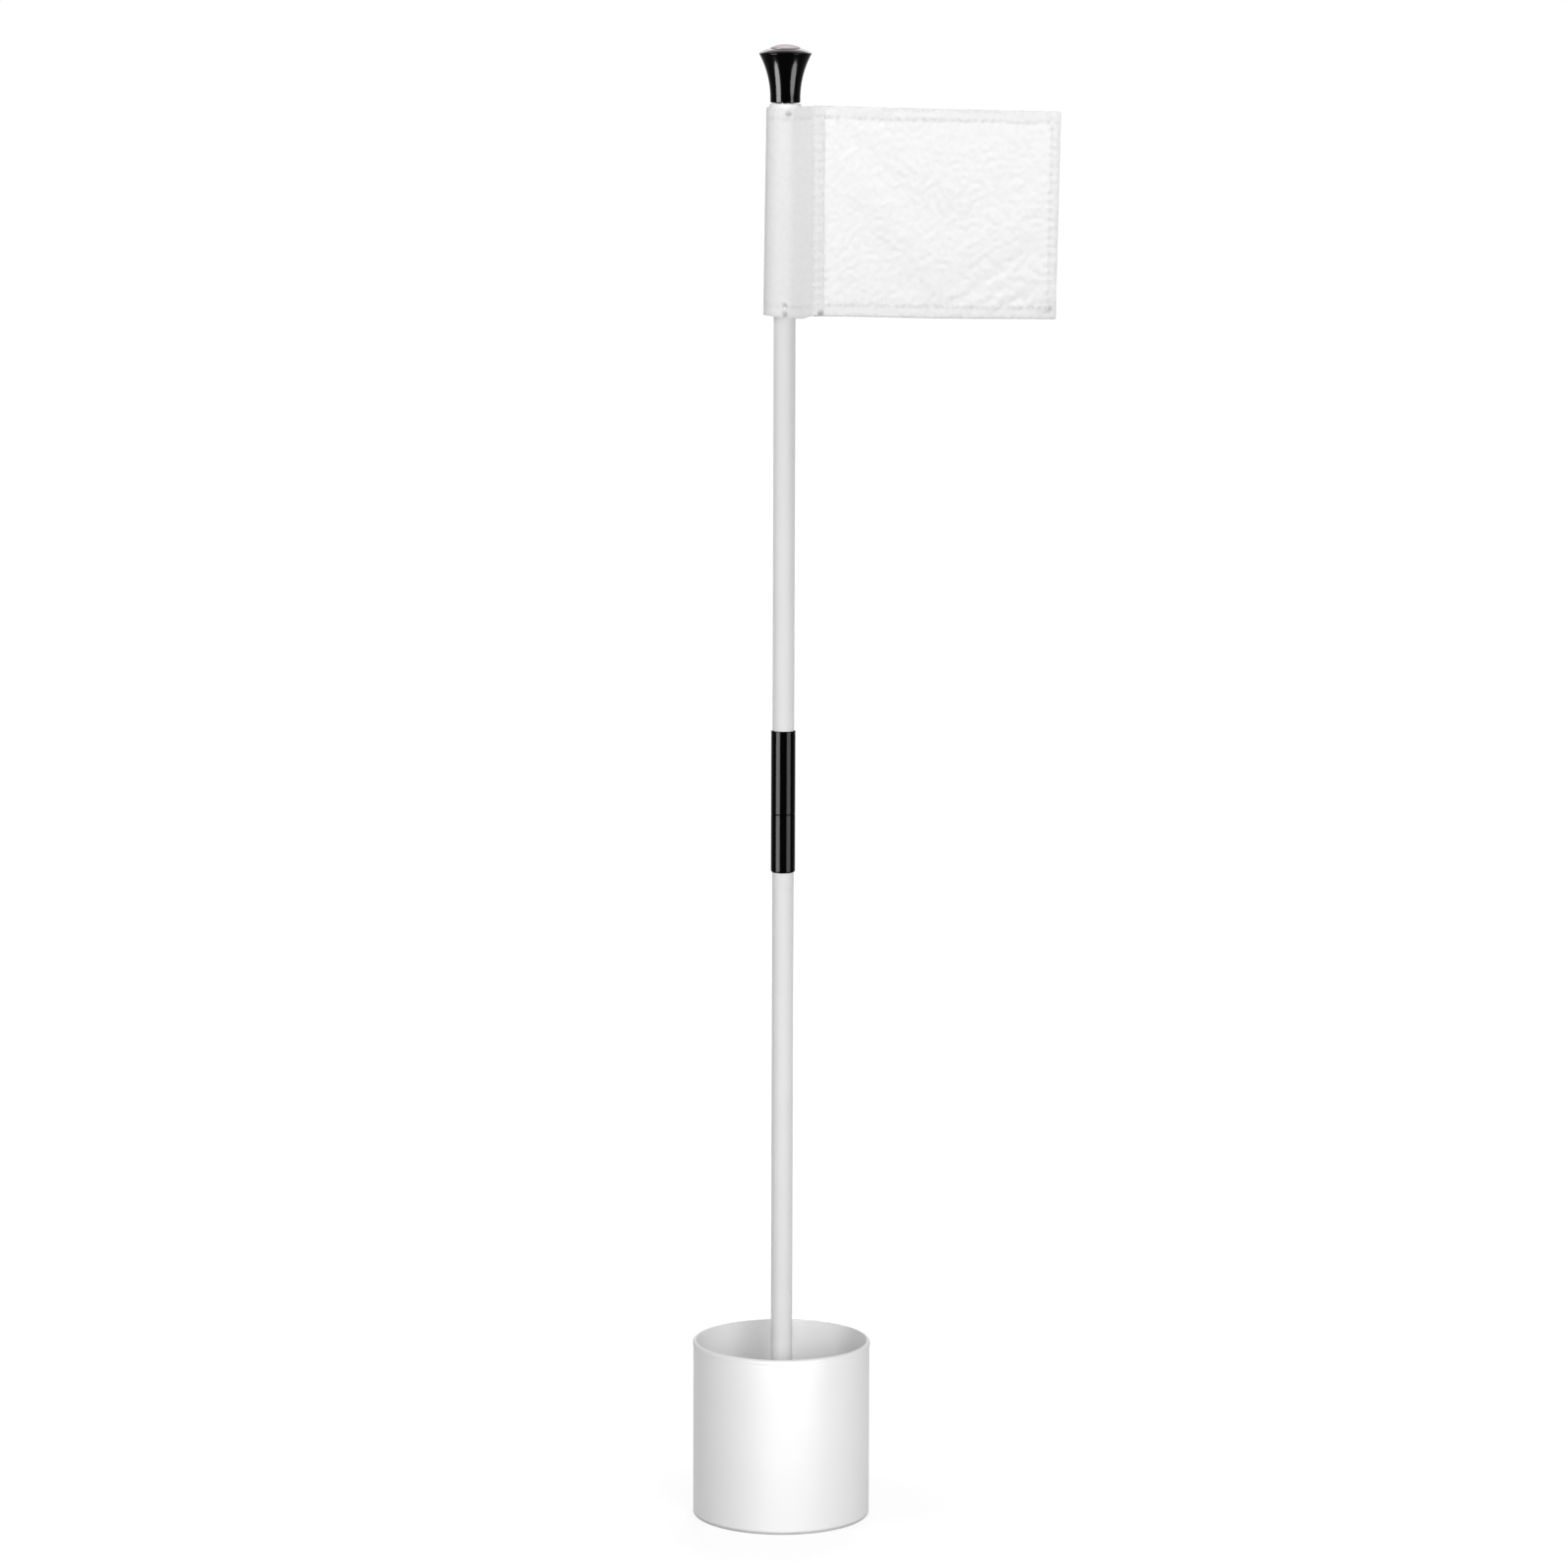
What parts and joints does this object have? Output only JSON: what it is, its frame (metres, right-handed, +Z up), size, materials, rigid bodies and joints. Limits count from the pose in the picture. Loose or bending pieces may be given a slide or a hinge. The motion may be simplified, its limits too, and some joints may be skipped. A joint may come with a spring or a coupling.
{
  "type": "golf practice flagstick with hole cup",
  "caption": "Two-part pole with a flared knob and a small swivelling rectangular flag, standing in a round open-topped hole cup that goes in a putting green.",
  "frame": {"origin": "centre of the cup's foot, on the pole's axis and on the ground", "axes": "+Z up along the pole, +X towards the flag's free edge, +Y towards the back of the flag"},
  "size_m": [0.217, 0.108, 0.8912],
  "materials": {
    "cup_plastic": "satin, moulded",
    "pole_plastic": "gloss",
    "black_plastic": "gloss",
    "liner_plastic": "matt",
    "badge": "satin, bare",
    "brass": "machined",
    "steel": "machined",
    "flag_cloth": "plain woven nylon",
    "tack_thread": "sewing thread"
  },
  "bodies": {
    "cup": {"cup_wall": "cup_plastic", "cup_floor": "cup_plastic", "cup_socket": "cup_plastic", "cup_ribs": "cup_plastic"},
    "lower_section": {"pole_tip": "liner_plastic", "lower_tube": "pole_plastic", "lower_insert": "brass", "lower_coupling": "black_plastic"},
    "upper_section": {"upper_coupling": "black_plastic", "coupling_stud": "steel", "upper_insert": "brass", "upper_tube": "pole_plastic", "top_plug": "brass"},
    "knob": {"knob_body": "black_plastic", "knob_badge": "badge", "knob_stud": "steel"},
    "flag": {"flag_liner": "liner_plastic", "flag_sleeve": "flag_cloth", "sleeve_seam": "flag_cloth", "flag_panel": "flag_cloth", "top_hem": "flag_cloth", "bottom_hem": "flag_cloth", "fly_hem": "flag_cloth", "liner_tacks": "tack_thread"}
  },
  "joints": [
    {"name": "stick_lift", "type": "slide", "parent": "cup", "child": "lower_section", "axis": [0, 0, 1], "range_m": [0, 0.12]},
    {"name": "section_unscrew", "type": "slide", "parent": "lower_section", "child": "upper_section", "axis": [0, 0, 1], "range_m": [0, 0.03]},
    {"name": "flag_swivel", "type": "hinge", "parent": "upper_section", "child": "flag", "pos_m": [0, 0, 0.79], "axis": [0, 0, 1], "continuous": true},
    {"name": "knob_unscrew", "type": "slide", "parent": "upper_section", "child": "knob", "axis": [0, 0, 1], "range_m": [0, 0.03]}
  ]
}
